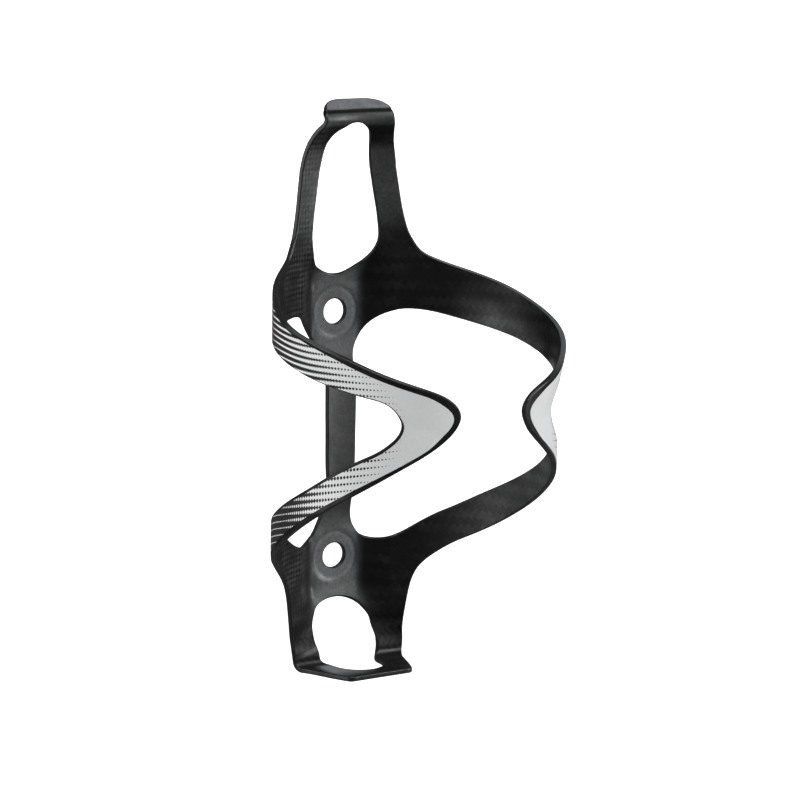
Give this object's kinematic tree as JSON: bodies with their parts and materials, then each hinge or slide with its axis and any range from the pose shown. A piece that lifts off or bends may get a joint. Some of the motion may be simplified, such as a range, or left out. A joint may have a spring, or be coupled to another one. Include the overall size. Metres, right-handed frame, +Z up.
{
  "type": "water bottle cage",
  "caption": "Carbon-fibre water bottle cage: V-shaped wings round the bottle, teardrop upper frame with a hook, arched lower frame with a shelf.",
  "frame": {"origin": "midway between the two bolt holes, on the mounting face that bears on the bicycle tube", "axes": "+Z up along the bottle, +Y back towards the bicycle tube, +X to the right seen from the open front"},
  "size_m": [0.075, 0.0733, 0.1466],
  "materials": {
    "carbon_frame": "satin clear coat over woven carbon fibre",
    "carbon_wings": "satin clear coat over woven carbon fibre",
    "printed_panel": "silver-grey print with a halftone hatch, under satin clear coat"
  },
  "bodies": {
    "back_shell": {"spine_bar": "carbon_frame", "upper_bolt_seat": "carbon_frame", "lower_bolt_seat": "carbon_frame", "left_lower_leg": "carbon_frame", "right_lower_leg": "carbon_frame", "bottom_shelf": "carbon_frame"},
    "right_wing": {"right_upper_arm": "carbon_wings", "right_lower_arm": "carbon_wings", "right_nose": "carbon_wings", "right_graphic_panel": "printed_panel"},
    "left_wing": {"left_upper_arm": "carbon_wings", "left_lower_arm": "carbon_wings", "left_nose": "carbon_wings", "left_graphic_panel": "printed_panel"},
    "upper_frame": {"left_upper_leg": "carbon_frame", "right_upper_leg": "carbon_frame", "top_hook": "carbon_frame"}
  },
  "joints": [
    {"name": "right_wing_flex", "type": "hinge", "parent": "back_shell", "child": "right_wing", "pos_m": [0.02507, -0.0143, 0], "axis": [0, 0, 1], "range_deg": [0, 6], "stiffness_Nm_per_rad": 1},
    {"name": "left_wing_flex", "type": "hinge", "parent": "back_shell", "child": "left_wing", "pos_m": [-0.02507, -0.0143, 0], "axis": [0, 0, -1], "range_deg": [0, 6], "stiffness_Nm_per_rad": 1},
    {"name": "upper_frame_flex", "type": "hinge", "parent": "back_shell", "child": "upper_frame", "pos_m": [0, -0.0053, 0.05015], "axis": [-1, 0, 0], "range_deg": [0, 4], "stiffness_Nm_per_rad": 1}
  ]
}
